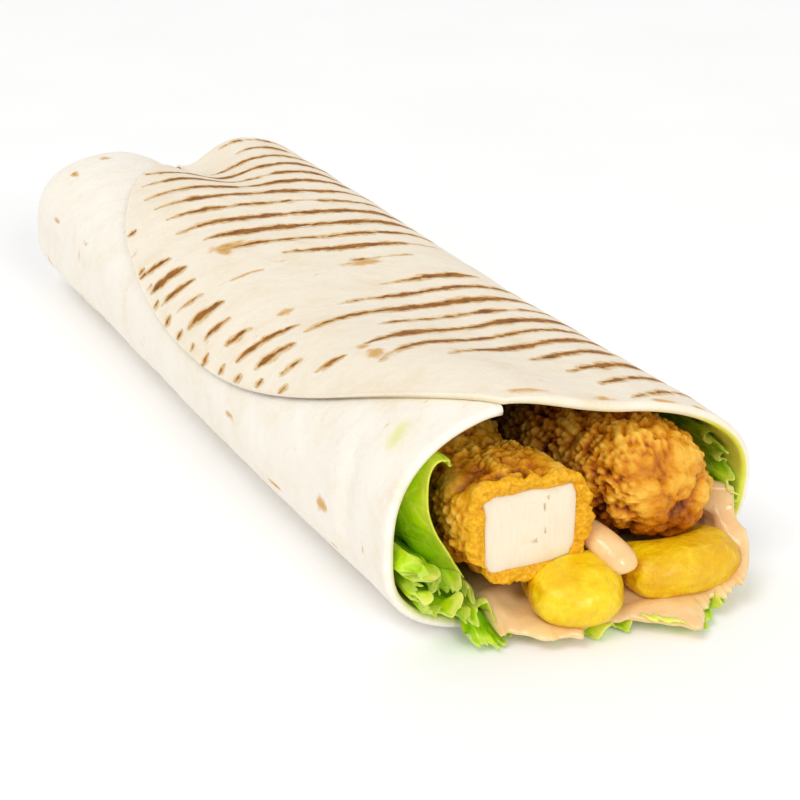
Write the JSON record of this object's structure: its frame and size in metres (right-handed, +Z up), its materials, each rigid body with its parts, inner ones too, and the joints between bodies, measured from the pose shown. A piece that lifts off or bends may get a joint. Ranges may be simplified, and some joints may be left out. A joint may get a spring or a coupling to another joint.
{
  "type": "chicken wrap",
  "caption": "Grilled flour tortilla wrap lying on its side, open at the front end, filled with fried chicken strips, potato pieces, lettuce and pink sauce.",
  "frame": {"origin": "centre of the flat underside that the wrap lies on, near the middle of its length", "axes": "+Y along the wrap from the open end (-Y) to the rolled-in closed end (+Y), +Z up, +X to the right when looking in at the open end from the front"},
  "size_m": [0.0798, 0.2363, 0.0459],
  "materials": {
    "tortilla": "matte baked flour dough, toasted brown stripes on the flap",
    "crust": "rough golden fried breading with a slight oily sheen",
    "meat": "moist pale cooked chicken, fibrous",
    "potato": "golden fried potato, softly glossy",
    "sauce": "thick glossy peach-pink sauce",
    "lettuce": "fresh green leaf, waxy, paler at the frilled edge"
  },
  "bodies": {
    "root": {"tortilla": "tortilla", "chicken_cut": "crust", "chicken_whole": "crust", "potato_left": "potato", "potato_right": "potato", "sauce_bed": "sauce", "sauce_drip": "sauce", "lettuce_bottom": "lettuce", "lettuce_left": "lettuce", "lettuce_fold": "lettuce", "lettuce_right": "lettuce"}
  },
  "joints": []
}
